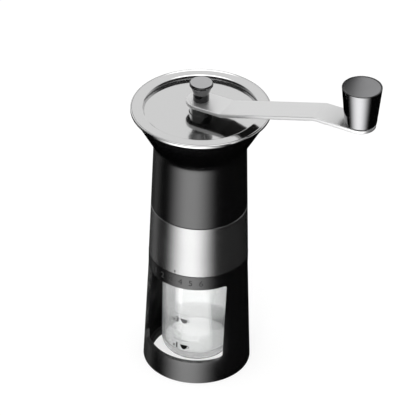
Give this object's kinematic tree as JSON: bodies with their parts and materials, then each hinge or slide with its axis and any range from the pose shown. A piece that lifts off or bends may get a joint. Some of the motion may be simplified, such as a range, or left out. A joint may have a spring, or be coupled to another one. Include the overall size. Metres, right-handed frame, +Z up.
{
  "type": "hand crank coffee grinder",
  "caption": "Upright hand crank coffee grinder: windowed base around a glass jar, turning steel grind ring, flared hopper with loose lid, cranked arm and knob.",
  "frame": {"origin": "centre of the base on the table, on the drive shaft's axis", "axes": "+Z up along the drive shaft; +X along the crank arm at rest; -Y out of the front window, where the scale is"},
  "size_m": [0.1829, 0.097, 0.2648],
  "materials": {
    "black_plastic": "satin moulded black",
    "black_rubber": "matte",
    "screw_steel": "zinc plated",
    "silicone": "matte translucent",
    "bronze": "sintered",
    "polished_steel": "mirror polished",
    "brushed_steel": "brushed upright",
    "inner_plastic": "matte",
    "burr_steel": "machined",
    "satin_steel": "satin",
    "gloss_black": "high gloss",
    "knob_cap_satin": "satin, faintly turned",
    "dark_steel": "polished grey",
    "jar_glass": "clear",
    "scale_print": "printed marks"
  },
  "bodies": {
    "grinder": {"foot_ring": "black_rubber", "base_frame": "black_plastic", "frame_screws": "screw_steel", "burr_housing": "black_plastic", "jar_gasket": "silicone", "lower_bridge": "screw_steel", "lower_bridge_screws": "screw_steel", "lower_bush": "bronze", "upper_bridge": "screw_steel", "hopper_screws": "screw_steel", "upper_bush": "bronze", "hopper_shell": "black_plastic", "rim_ring": "polished_steel"},
    "adjuster": {"adjust_band": "brushed_steel", "adjust_sleeve": "inner_plastic"},
    "carrier": {"burr_carrier": "inner_plastic", "outer_burr": "burr_steel", "burr_retainer": "screw_steel"},
    "crank": {"drive_shaft": "burr_steel", "shaft_clip": "screw_steel", "thrust_washer": "bronze", "inner_burr": "burr_steel", "burr_nut": "screw_steel", "shaft_spring": "screw_steel", "hub_collar": "polished_steel", "crank_arm": "satin_steel", "knob_pin": "screw_steel", "knob_screw": "screw_steel", "knob_washer": "black_rubber"},
    "cap_nut": {"cap_nut": "dark_steel"},
    "knob": {"knob": "gloss_black", "knob_cap": "knob_cap_satin"},
    "lid": {"lid": "polished_steel"},
    "jar": {"jar": "jar_glass"}
  },
  "joints": [
    {"name": "crank_spin", "type": "hinge", "parent": "grinder", "child": "crank", "pos_m": [0, 0, 0.2], "axis": [0, 0, 1], "continuous": true},
    {"name": "knob_spin", "type": "hinge", "parent": "crank", "child": "knob", "pos_m": [0.1208, 0, 0.25], "axis": [0, 0, 1], "continuous": true},
    {"name": "nut_turn", "type": "hinge", "parent": "crank", "child": "cap_nut", "pos_m": [0, 0, 0.22], "axis": [0, 0, 1], "continuous": true},
    {"name": "grind_set", "type": "hinge", "parent": "grinder", "child": "adjuster", "pos_m": [0, 0, 0.11], "axis": [0, 0, 1], "range_deg": [-32.5, 32.5]},
    {"name": "burr_shift", "type": "slide", "parent": "grinder", "child": "carrier", "axis": [0, 0, 1], "range_m": [-0.0006, 0.0006]},
    {"name": "lid_lift", "type": "slide", "parent": "grinder", "child": "lid", "axis": [0, 0, 1], "range_m": [0, 0.0065]},
    {"name": "jar_drop", "type": "slide", "parent": "grinder", "child": "jar", "axis": [0, 0, 1], "range_m": [-0.0078, 0]}
  ],
  "couplings": [
    {"joint": "burr_shift", "follows": "grind_set", "m_per_rad": 0.00095493}
  ]
}
